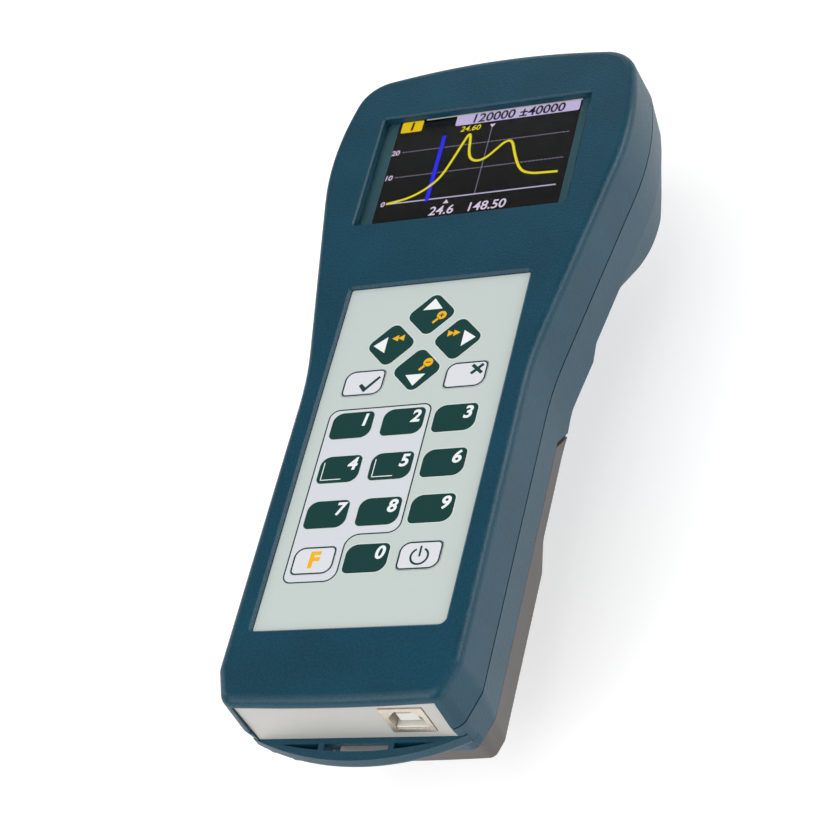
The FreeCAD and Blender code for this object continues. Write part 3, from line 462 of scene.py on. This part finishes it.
def piece(name, shape, body, *finishes):
    """Turns a shape drawn in millimetres into a piece that rides on a body of the frame."""
    if isinstance(shape, bmesh.types.BMesh):
        mesh = bpy.data.meshes.new(name)
        bmesh.ops.recalc_face_normals(shape, faces=shape.faces)
        shape.to_mesh(mesh)
        shape.free()
    else:
        mesh = shape
        mesh.name = name
        mesh.materials.clear()
    mesh.transform(Matrix.Scale(mm, 4))
    for finish in finishes:
        mesh.materials.append(finish)
    made = bpy.data.objects.new(name, mesh)
    scene.collection.objects.link(made)
    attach(made, body)
    return made


def outline(corners, cuts, rim=0.0, open_inside=False):
    """Draws a filled flat outline, rounds its corners, and marks or keeps only its rim."""
    shape = bmesh.new()
    points = [shape.verts.new((x, y, 0.0)) for x, y in corners]
    shape.faces.new(points)
    for point, cut in zip(points, cuts):
        if cut:
            bmesh.ops.bevel(shape, geom=[point], offset=cut, segments=corner_segments,
                            profile=round_profile, affect="VERTICES", material=-1)
    if rim:
        face = max(shape.faces, key=lambda f: f.calc_area())
        edge = bmesh.ops.inset_region(shape, faces=[face], thickness=rim, use_boundary=True,
                                      use_even_offset=True)["faces"]
        for strip in edge:
            strip.material_index = 1
        if open_inside:
            bmesh.ops.delete(shape, geom=[f for f in shape.faces if f.material_index == 0],
                             context="FACES")
    return shape


def lift(shape, level, thickness=ink, over=0.0):
    """Gives flat faces a thickness and sets them on their level."""
    made = bmesh.ops.extrude_face_region(shape, geom=shape.faces[:], use_keep_orig=True)
    tops = [g for g in made["geom"] if isinstance(g, bmesh.types.BMVert)]
    bmesh.ops.translate(shape, verts=tops, vec=(0.0, 0.0, thickness))
    bmesh.ops.translate(shape, verts=shape.verts, vec=(0.0, 0.0, level + over))
    return shape


def oblong(centre, size, grow):
    """The four corners of a key's outline, lower left first."""
    x, y = size[0] / 2 + grow, size[1] / 2 + grow
    return [(centre[0] + a * x, centre[1] + b * y)
            for a, b in ((-1, -1), (1, -1), (1, 1), (-1, 1))]


def diamond(centre, half, grow):
    """The four corners of an arrow key's outline, lowest first."""
    x, y = half[0] + grow * diamond_stretch, half[1] + grow * diamond_stretch
    return [(centre[0], centre[1] - y), (centre[0] + x, centre[1]),
            (centre[0], centre[1] + y), (centre[0] - x, centre[1])]


halo_film = moulded("halo_film", halo_grey, fleck=0.03, roughness=0.34, bump=0.2,
                    **film_texture)
green_print = moulded("green_print", dark_green, fleck=0.12, roughness=0.34, bump=0.2,
                      **film_texture)
dress(moulded("dark_key", dark_green, fleck=0.16, roughness=0.34, bump=0.3, shine=0.25,
              **film_texture),
      *[key + "_key" for key in key_centres], *[key + "_key" for key in arrow_centres])
dress(moulded("light_key", key_lilac, fleck=0.03, roughness=0.32, bump=0.2, **film_texture),
      *[key + "_key" for key in light_centres])

halos = {key: (oblong(centre, key_size, halo_reach), [cut + halo_reach for cut in key_cuts])
         for key, centre in key_centres.items()}
for key, centre in arrow_centres.items():
    halos[key] = diamond(centre, arrow_half, halo_reach), [arrow_halo_cut] * 4
for key, (corners, cuts) in halos.items():
    halo = outline(corners, cuts, rim=halo_width, open_inside=True)
    piece(key + "_halo", lift(halo, film_top), "case", halo_film, halo_film)
for key, centre in light_centres.items():
    rim = outline(oblong(centre, key_size, -outline_inset), key_cuts, rim=outline_width,
                  open_inside=True)
    piece(key + "_outline", lift(rim, key_top), key + "_button", green_print, green_print)

# The printed field: a lilac area of ink on the film round seven of the keys, with a thin dark
# green outline that steps in to leave the zero key out. It is one sheet with no openings over
# those keys, so they go below it and out of sight when they are pressed.
field_lilac = "#d3d6dc"
field_corners = [(-23.2, -74.0), (-7.3, -74.0), (-7.3, -59.6), (7.75, -59.6), (7.75, -17.3),
                 (-23.2, -17.3)]
field_cuts = (2.6, 3.6, 3.6, 3.6, 2.6, 3.0)
field_rim = 0.42
field_ink = ink * 0.5
lilac_print = moulded("lilac_print", field_lilac, fleck=0.04, roughness=0.36, bump=0.3,
                      **film_texture)
field = outline(field_corners, field_cuts, rim=field_rim)
piece("printed_field", lift(field, film_top, field_ink), "case", lilac_print, green_print)

# The print on the keys: leaning bold numbers, arrows and plain signs, in white, yellow or green
# ink on the film of each key, so each sign moves with its key. The places of signs and of their
# strokes are measured from the middle of their key, in millimetres.
ink_white = "#eceef0"
ink_yellow = "#f0b400"
ink_texture = {"scale": 2400.0, "depth": 0.004, "bump": 0.2}
type_smoothness = 5
digit_place = (4.95, 1.35)
digit_size = 5.5
digit_lean = 0.14
digit_weight = 0.17
axis_keys = ("digit_4", "digit_5")
axis_strokes = [((-4.9, 2.5), (-4.9, -3.3)), ((-5.03, -3.3), (1.2, -3.3))]
axis_width = 0.26
arrow_signs = {"up": [(-3.0, 1.7), (3.0, 1.7), (0.0, 5.6)],
               "down": [(-3.0, -1.7), (0.0, -5.6), (3.0, -1.7)],
               "left": [(-1.5, -2.8), (-1.5, 2.8), (-5.4, 0.0)],
               "right": [(1.5, -2.8), (5.4, 0.0), (1.5, 2.8)]}
chevrons = {"left": [[(1.8, 1.0), (1.8, 3.2), (-0.2, 2.1)],
                     [(3.6, 1.0), (3.6, 3.2), (1.6, 2.1)]],
            "right": [[(-3.4, 1.0), (-1.4, 2.1), (-3.4, 3.2)],
                      [(-1.6, 1.0), (0.4, 2.1), (-1.6, 3.2)]]}
minus_strokes = [((-0.75, 0.0), (0.75, 0.0))]
plus_strokes = minus_strokes + [((0.0, -0.75), (0.0, -0.17)), ((0.0, 0.17), (0.0, 0.75))]
magnifiers = {"up": ((3.3, -0.7), plus_strokes), "down": ((3.0, 2.2), minus_strokes)}
magnifier_radius = 1.45
magnifier_segments = 28
magnifier_stroke = 0.34
handle_ends = ((-0.8, -1.0), (-2.3, -2.5))
handle_width = 0.75
tick_parts = [[(-1.3, -0.9), (0.6, -3.3), (0.9, -1.6), (-0.5, -0.2)],
              [(0.6, -3.3), (5.0, 1.5), (4.3, 2.0), (0.9, -1.6)]]
cross_strokes = [((1.5, 0.1), (4.7, 3.1)), ((1.5, 3.1), (2.74, 1.94)),
                 ((3.46, 1.26), (4.7, 0.1))]
cross_width = 1.0
letter_size = 6.8
letter_lean = 0.03
letter_weight = 0.3
power_drop = 0.3
power_radii = (2.15, 2.75)
power_start = math.radians(62)
power_sweep = math.radians(304)
power_steps = 40
power_stroke = ((0.0, -0.4), (0.0, 2.9))
power_stroke_width = 0.58


def mesh_of(data):
    """The mesh of a piece of type or of a curve."""
    drawing = bpy.data.objects.new(data.name, data)
    scene.collection.objects.link(drawing)
    bpy.context.view_layer.update()
    mesh = bpy.data.meshes.new_from_object(
        drawing.evaluated_get(bpy.context.evaluated_depsgraph_get()))
    bpy.data.objects.remove(drawing)
    return mesh


def words(name, text, place, level, size, body, finish, lean, weight, align):
    """Numbers or a sign set in type, made a thin mesh and laid on a level, in millimetres."""
    type_data = bpy.data.curves.new(name, "FONT")
    type_data.body = text
    type_data.size = size
    type_data.shear = lean
    type_data.offset = weight
    type_data.extrude = ink / 2
    type_data.align_x = align
    type_data.align_y = "CENTER"
    type_data.resolution_u = type_smoothness
    mesh = mesh_of(type_data)
    mesh.transform(Matrix.Translation((place[0], place[1], level + ink / 2)))
    return piece(name, mesh, body, finish)


def flat(shape, corners):
    """Adds a flat filled face."""
    shape.faces.new([shape.verts.new((x, y, 0.0)) for x, y in corners])


def filled(corner_lists, level, thickness=ink, over=0.0):
    """Flat filled shapes, one for each list of corners, laid on a level."""
    shape = bmesh.new()
    for corners in corner_lists:
        flat(shape, corners)
    return lift(shape, level, thickness, over)


def bar(start, end, width):
    """The corners of a straight stroke."""
    run = Vector(end) - Vector(start)
    side = Vector((-run.y, run.x)).normalized() * width / 2
    a, b = Vector(start), Vector(end)
    return [tuple(a - side), tuple(b - side), tuple(b + side), tuple(a + side)]


def around(centre, offsets):
    """Points that are measured from a centre."""
    return [(centre[0] + x, centre[1] + y) for x, y in offsets]


def bars(centre, strokes, width):
    """The corners of straight strokes that are measured from a centre."""
    return [bar(*around(centre, ends), width) for ends in strokes]


def magnifier(key, centre, strokes):
    """A magnifying glass: a disc with a handle, and a plus or a minus printed over it."""
    glass = bmesh.new()
    bmesh.ops.create_circle(glass, cap_ends=True, segments=magnifier_segments,
                            radius=magnifier_radius,
                            matrix=Matrix.Translation((centre[0], centre[1], 0.0)))
    flat(glass, bar(*around(centre, handle_ends), handle_width))
    piece(key + "_magnifier", lift(glass, key_top), key + "_button", yellow_ink)
    piece(key + "_magnifier_sign",
          filled(bars(centre, strokes, magnifier_stroke), key_top, over=ink), key + "_button",
          green_print)


white_ink = moulded("white_ink", ink_white, fleck=0.04, roughness=0.4, **ink_texture)
yellow_ink = moulded("yellow_ink", ink_yellow, fleck=0.06, roughness=0.4, **ink_texture)
for key, centre in key_centres.items():
    words(key + "_number", key[-1], around(centre, [digit_place])[0], key_top, digit_size,
          key + "_button", white_ink, digit_lean, digit_weight, "RIGHT")
for key in axis_keys:
    piece(key + "_axes", filled(bars(key_centres[key], axis_strokes, axis_width), key_top),
          key + "_button", white_ink)
for key, centre in arrow_centres.items():
    piece(key + "_arrow", filled([around(centre, arrow_signs[key])], key_top),
          key + "_button", white_ink)
    if key in magnifiers:
        place, strokes = magnifiers[key]
        magnifier(key, around(centre, [place])[0], strokes)
    if key in chevrons:
        piece(key + "_chevrons",
              filled([around(centre, corners) for corners in chevrons[key]], key_top),
              key + "_button", yellow_ink)
piece("confirm_tick",
      filled([around(light_centres["confirm"], corners) for corners in tick_parts], key_top),
      "confirm_button", green_print)
piece("cancel_cross", filled(bars(light_centres["cancel"], cross_strokes, cross_width), key_top),
      "cancel_button", green_print)
words("function_sign", "F", light_centres["function"], key_top, letter_size, "function_button",
      yellow_ink, letter_lean, letter_weight, "CENTER")
power_x, power_y = light_centres["power"]
ring = bmesh.new()
ring_ends = [ring.verts.new((power_x + radius * math.cos(power_start),
                             power_y - power_drop + radius * math.sin(power_start), 0.0))
             for radius in power_radii]
bmesh.ops.spin(ring, geom=[*ring_ends, ring.edges.new(ring_ends)],
               cent=(power_x, power_y - power_drop, 0.0), axis=(0.0, 0.0, 1.0),
               angle=-power_sweep, steps=power_steps)
flat(ring, bar(*around(light_centres["power"], power_stroke), power_stroke_width))
piece("power_sign", lift(ring, key_top), "power_button", green_print)

# The display: a dark laminated glass behind a clear acrylic lens with a teal painted border, and
# the picture that it shows, made of lit dots in thin layers on the glass, with a glowing pale strip
# at its top that is a painted reflection of the bezel edge. Its places are in millimetres, and each
# block is its left, low, right and high side.
# The border's teal is lighter than the paint itself: painted light, standing in for the light that
# the lens keeps from it.
border_teal_with_painted_light = "#4a7886"
border_margin = 0.2
border_gap = 0.03
border_paint_thickness = 0.02
picture_half_width = 29.4
smear_detail = 3.0
glass_smear_scale = 90.0
glass_dark_low, glass_dark_high = 0.003, 0.009
glass_roughness_low, glass_roughness_high = 0.16, 0.26
lens_smear_scale = 70.0
lens_roughness_low, lens_roughness_high = 0.015, 0.05
lens_tint = (0.97, 0.985, 0.98, 1.0)
lens_refraction = 1.3
dot_scale = 1500.0
dot_level_low, dot_level_high = 0.82, 1.04
unlit = (0.01, 0.01, 0.01, 1.0)
dot_roughness = 0.4
# The edge colour is no part of the picture: it makes the painted reflection of the bezel edge.
lit_colours = {"yellow": "#f2e000", "chip": "#f2ca00", "lilac": "#cdbfe8", "pink": "#e6d3ee",
               "blue": "#1c1cf4", "grid": "#7d7390", "black": "#020202", "edge": "#b3aca6"}
layer_gap = 0.004
band_over = ink * 0.5
cursor_over = ink * 0.7
# The pale strip at the top of the picture, made to glow: a painted reflection of the bezel edge.
bezel_reflection_block = (-20.8, 92.75, 29.3, 93.25)
chip_block = (-28.6, 88.7, -21.6, 93.0)
chip_cuts = [0.5, 0.5, 0.5, 0.5]
header_block = (-10.6, 88.8, 28.9, 92.75)
header_cuts = [0.6, 0.6, 0.0, 0.0]
label_right = -26.9
grid_levels = {"20": 80.6, "10": 70.6}
base_level = 60.2
dash_start = -26.0
dash_length = 0.95
dash_step = 1.25
dash_count = 43
dash_half = 0.17
base_line = ((-26.0, base_level), (27.2, base_level))
base_line_width = 0.42
band_block = (-13.9, 59.6, -12.6, 85.4)
cursor_line = ((1.9, 60.4), (1.9, 86.2))
cursor_width = 0.24
cursor_marks = [[(1.9, 86.3), (2.8, 87.7), (1.0, 87.7)],
                [(-7.6, 57.9), (-5.8, 57.9), (-6.7, 59.4)]]
trace_points = [(-26.4, 60.3), (-22.6, 60.9), (-18.6, 62.0), (-14.6, 64.4), (-10.8, 68.2),
                (-8.6, 74.2), (-5.7, 83.4), (-4.9, 84.9), (-4.3, 83.4), (-3.4, 75.6),
                (-0.8, 73.2), (2.2, 73.8), (5.0, 76.8), (7.4, 79.8), (9.8, 80.0), (11.6, 74.2),
                (14.6, 67.4), (18.6, 65.6), (22.8, 65.4), (26.8, 65.2)]
trace_half_width = 0.42
trace_flatness = 0.03
trace_rise = 0.014

glass_finish, tree, shader = new_finish("display_glass")
where = add(tree, "TexCoord")
smear = add(tree, "TexNoise", {"Vector": where.outputs["Object"], "Scale": glass_smear_scale,
                               "Detail": smear_detail})
dark = add(tree, "MapRange", {"Value": smear.outputs["Fac"], "To Min": glass_dark_low,
                              "To Max": glass_dark_high})
dull = add(tree, "MapRange", {"Value": smear.outputs["Fac"], "To Min": glass_roughness_low,
                              "To Max": glass_roughness_high})
tree.links.new(dark.outputs[0], shader.inputs["Base Color"])
tree.links.new(dull.outputs[0], shader.inputs["Roughness"])
dress(glass_finish, "display_glass")

lens_finish, tree, shader = new_finish("lens_clear")
where = add(tree, "TexCoord")
smear = add(tree, "TexNoise", {"Vector": where.outputs["Object"], "Scale": lens_smear_scale,
                               "Detail": smear_detail})
dull = add(tree, "MapRange", {"Value": smear.outputs["Fac"], "To Min": lens_roughness_low,
                              "To Max": lens_roughness_high})
tree.links.new(dull.outputs[0], shader.inputs["Roughness"])
shader.inputs["Base Color"].default_value = lens_tint
shader.inputs["IOR"].default_value = lens_refraction
shader.inputs["Transmission Weight"].default_value = 1.0
dress(lens_finish, "display_lens")


def block(left, low, right, high):
    """The four corners of an upright rectangle, lower left first."""
    return [(left, low), (right, low), (right, high), (left, high)]


lens_low, lens_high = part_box("display_lens")
lens_left, lens_near, lens_far = [place * per_metre for place in
                                  (lens_low.x, lens_low.y, lens_high.y)]
glass_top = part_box("display_glass")[1].z * per_metre
# Painted light: the border paint is lifted in colour for the light that the lens holds back.
border_paint = moulded("border_paint", border_teal_with_painted_light, fleck=0.12, roughness=0.3, scale=2200.0,
                       depth=0.004)
border_sides = [block(side * picture_half_width, lens_near + border_margin,
                      side * -(lens_left + border_margin), lens_far - border_margin)
                for side in (-1, 1)]
border_level = lens_low.z * per_metre - border_gap
piece("lens_border", filled(border_sides, border_level, border_paint_thickness), "case",
      border_paint)

dots, given, result = effect("screen_dots", [("Colour", "NodeSocketColor", white)],
                             [("Colour", "NodeSocketColor")])
where = add(dots, "TexCoord")
columns = add(dots, "TexWave", {"Vector": where.outputs["Object"], "Scale": dot_scale},
              bands_direction="X")
rows = add(dots, "TexWave", {"Vector": where.outputs["Object"], "Scale": dot_scale},
           bands_direction="Y")
cell = add(dots, "Math", {0: columns.outputs["Fac"], 1: rows.outputs["Fac"]},
           operation="MULTIPLY")
bright = add(dots, "MapRange", {"Value": cell.outputs[0], "To Min": dot_level_low,
                                "To Max": dot_level_high})
lit_colour = add(dots, "HueSaturation", {"Color": given.outputs["Colour"],
                                         "Value": bright.outputs[0]})
dots.links.new(lit_colour.outputs[0], result.inputs["Colour"])


def lit(name, colour):
    """Lit dots of one colour."""
    finish, tree, shader = new_finish(name)
    source = tree.nodes.new("ShaderNodeGroup")
    source.node_tree = dots
    source.inputs["Colour"].default_value = paint(colour)
    tree.links.new(source.outputs["Colour"], shader.inputs["Emission Color"])
    shader.inputs["Base Color"].default_value = unlit
    shader.inputs["Roughness"].default_value = dot_roughness
    shader.inputs["Emission Strength"].default_value = 1.0
    return finish


screen = {name: lit("lit_" + name, colour) for name, colour in lit_colours.items()}
layer = glass_top + layer_gap


def screen_words(name, text, place, level, size, colour, lean, weight, align="CENTER"):
    """Lit numbers on the display."""
    words("screen_" + name, text, place, level, size, "case", screen[colour], lean, weight, align)


def screen_piece(name, shape, colour):
    """A lit shape on the display."""
    piece("screen_" + name, shape, "case", screen[colour])


# A glowing strip at the top edge: a painted reflection of the bezel edge, not a lit part of the
# picture.
screen_piece("edge", filled([block(*bezel_reflection_block)], layer), "edge")
screen_piece("chip", lift(outline(block(*chip_block), chip_cuts), layer), "chip")
screen_words("chip_number", "1", (-25.1, 90.8), layer + ink, 4.4, "black", 0.1, 0.14)
screen_piece("header", lift(outline(block(*header_block), header_cuts), layer), "lilac")
screen_words("header_numbers", "120000 ±40000", (9.2, 90.7), layer + ink, 4.7, "black",
             0.1, 0.09)
for label, level in {**grid_levels, "0": base_level}.items():
    screen_words("label_" + label, label, (label_right, level), layer, 2.7, "pink", 0.1, 0.05,
                 "RIGHT")
dashes = []
for level in grid_levels.values():
    for number in range(dash_count):
        left = dash_start + number * dash_step
        dashes.append(block(left, level - dash_half, left + dash_length, level + dash_half))
screen_piece("grid", filled(dashes, layer), "grid")
screen_piece("base_line", filled([bar(*base_line, base_line_width)], layer), "lilac")
screen_piece("band", filled([block(*band_block)], layer, over=band_over), "blue")
screen_piece("cursor", filled([bar(*cursor_line, cursor_width)], layer, over=cursor_over),
             "grid")
screen_piece("cursor_marks", filled(cursor_marks, layer), "pink")
screen_words("peak_number", "24.60", (-5.2, 87.0), layer, 2.9, "yellow", 0.15, 0.03)
screen_words("numbers", "24.6   148.50", (0.6, 55.2), layer, 4.6, "pink", 0.1, 0.06)

route = bpy.data.curves.new("screen_trace", "CURVE")
route.dimensions = "3D"
route.bevel_depth = trace_half_width
route.bevel_resolution = 1
line = route.splines.new("NURBS")
line.points.add(len(trace_points) - 1)
for point, (x, y) in zip(line.points, trace_points):
    point.co = (x, y, 0.0, 1.0)
line.order_u = 3
line.use_endpoint_u = True
trace = mesh_of(route)
trace.transform(Matrix.Translation((0.0, 0.0, layer + ink + trace_rise))
                @ Matrix.Diagonal((1.0, 1.0, trace_flatness, 1.0)))
screen_piece("trace", trace, "yellow")

# The antenna connector's body: its hexagon, barrel and neck in nickel-plated brass. Close rings
# with the profile and pitch of the thread stand for it, and the edge of the mouth is broken.
connector_low, connector_high = [corner * per_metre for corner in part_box("antenna_connector_body")]
connector_x = (connector_low.x + connector_high.x) / 2
connector_z = (connector_low.z + connector_high.z) / 2
hexagon_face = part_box("upper_panel")[1].y * per_metre
hexagon_root = hexagon_face + 2.5
hexagon_flats = 19.0
hexagon_wall = 3.4
hexagon_broken_edge = 0.22
neck_radius = 6.3
bore_radius = 4.05
bore_broken_edge = 0.3
thread_crest = 7.94
thread_root = 7.36
thread_pitch = 1.058
thread_start = 0.5
thread_end_room = 0.4
crest_start, crest_end, ring_end = 0.36, 0.55, 0.91
mouth_lean = 0.1
mouth_broken_length, mouth_broken_depth = 0.25, 0.4
turning_steps = 72

mouth = connector_high.y
turning = [(bore_radius, connector_low.y), (neck_radius, connector_low.y),
           (neck_radius, hexagon_root), (thread_root, hexagon_root)]
ridge = hexagon_root + thread_start
while ridge + thread_pitch < mouth - thread_end_room:
    turning += [(thread_root, ridge), (thread_crest, ridge + crest_start),
                (thread_crest, ridge + crest_end), (thread_root, ridge + ring_end)]
    ridge += thread_pitch
turning += [(thread_root, ridge), (thread_root - mouth_lean, mouth - mouth_broken_length),
            (thread_root - mouth_broken_depth, mouth), (bore_radius + bore_broken_edge, mouth),
            (bore_radius, mouth - bore_broken_edge)]
shape = bmesh.new()
points = [shape.verts.new((connector_x + radius, y, connector_z)) for radius, y in turning]
for start, end in zip(points, points[1:] + points[:1]):
    shape.edges.new((start, end))
bmesh.ops.spin(shape, geom=shape.verts[:] + shape.edges[:], cent=(connector_x, 0.0, connector_z),
               axis=(0.0, 1.0, 0.0), angle=math.tau, steps=turning_steps, use_merge=True)

# The hexagon's corners point the way the solid's do, where the solid is wider.
across_x = connector_high.x - connector_low.x
across_z = connector_high.z - connector_low.z
turn = math.pi / 6 if across_x < across_z else 0
hexagon_reach = hexagon_flats / math.sqrt(3)
hexagon = [(hexagon_reach * math.cos(turn + corner * math.pi / 3),
            hexagon_reach * math.sin(turn + corner * math.pi / 3)) for corner in range(6)]
nut = outline(hexagon, [0.0] * 6, rim=hexagon_wall, open_inside=True)
lift(nut, 0.0, hexagon_root - hexagon_face)
bmesh.ops.bevel(nut, geom=nut.edges[:], offset=hexagon_broken_edge, segments=2,
                profile=round_profile, affect="EDGES", material=-1)
bmesh.ops.transform(nut, verts=nut.verts,
                    matrix=Matrix.Translation((connector_x, hexagon_root, connector_z))
                    @ Matrix.Rotation(math.pi / 2, 4, "X"))
nut_mesh = bpy.data.meshes.new("hexagon")
nut.to_mesh(nut_mesh)
nut.free()
shape.from_mesh(nut_mesh)
bpy.data.meshes.remove(nut_mesh)
for face in shape.faces:
    face.material_index = 0
turned_body = piece("antenna_connector_turned", shape, "case", nickel)
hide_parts("antenna_connector_body")
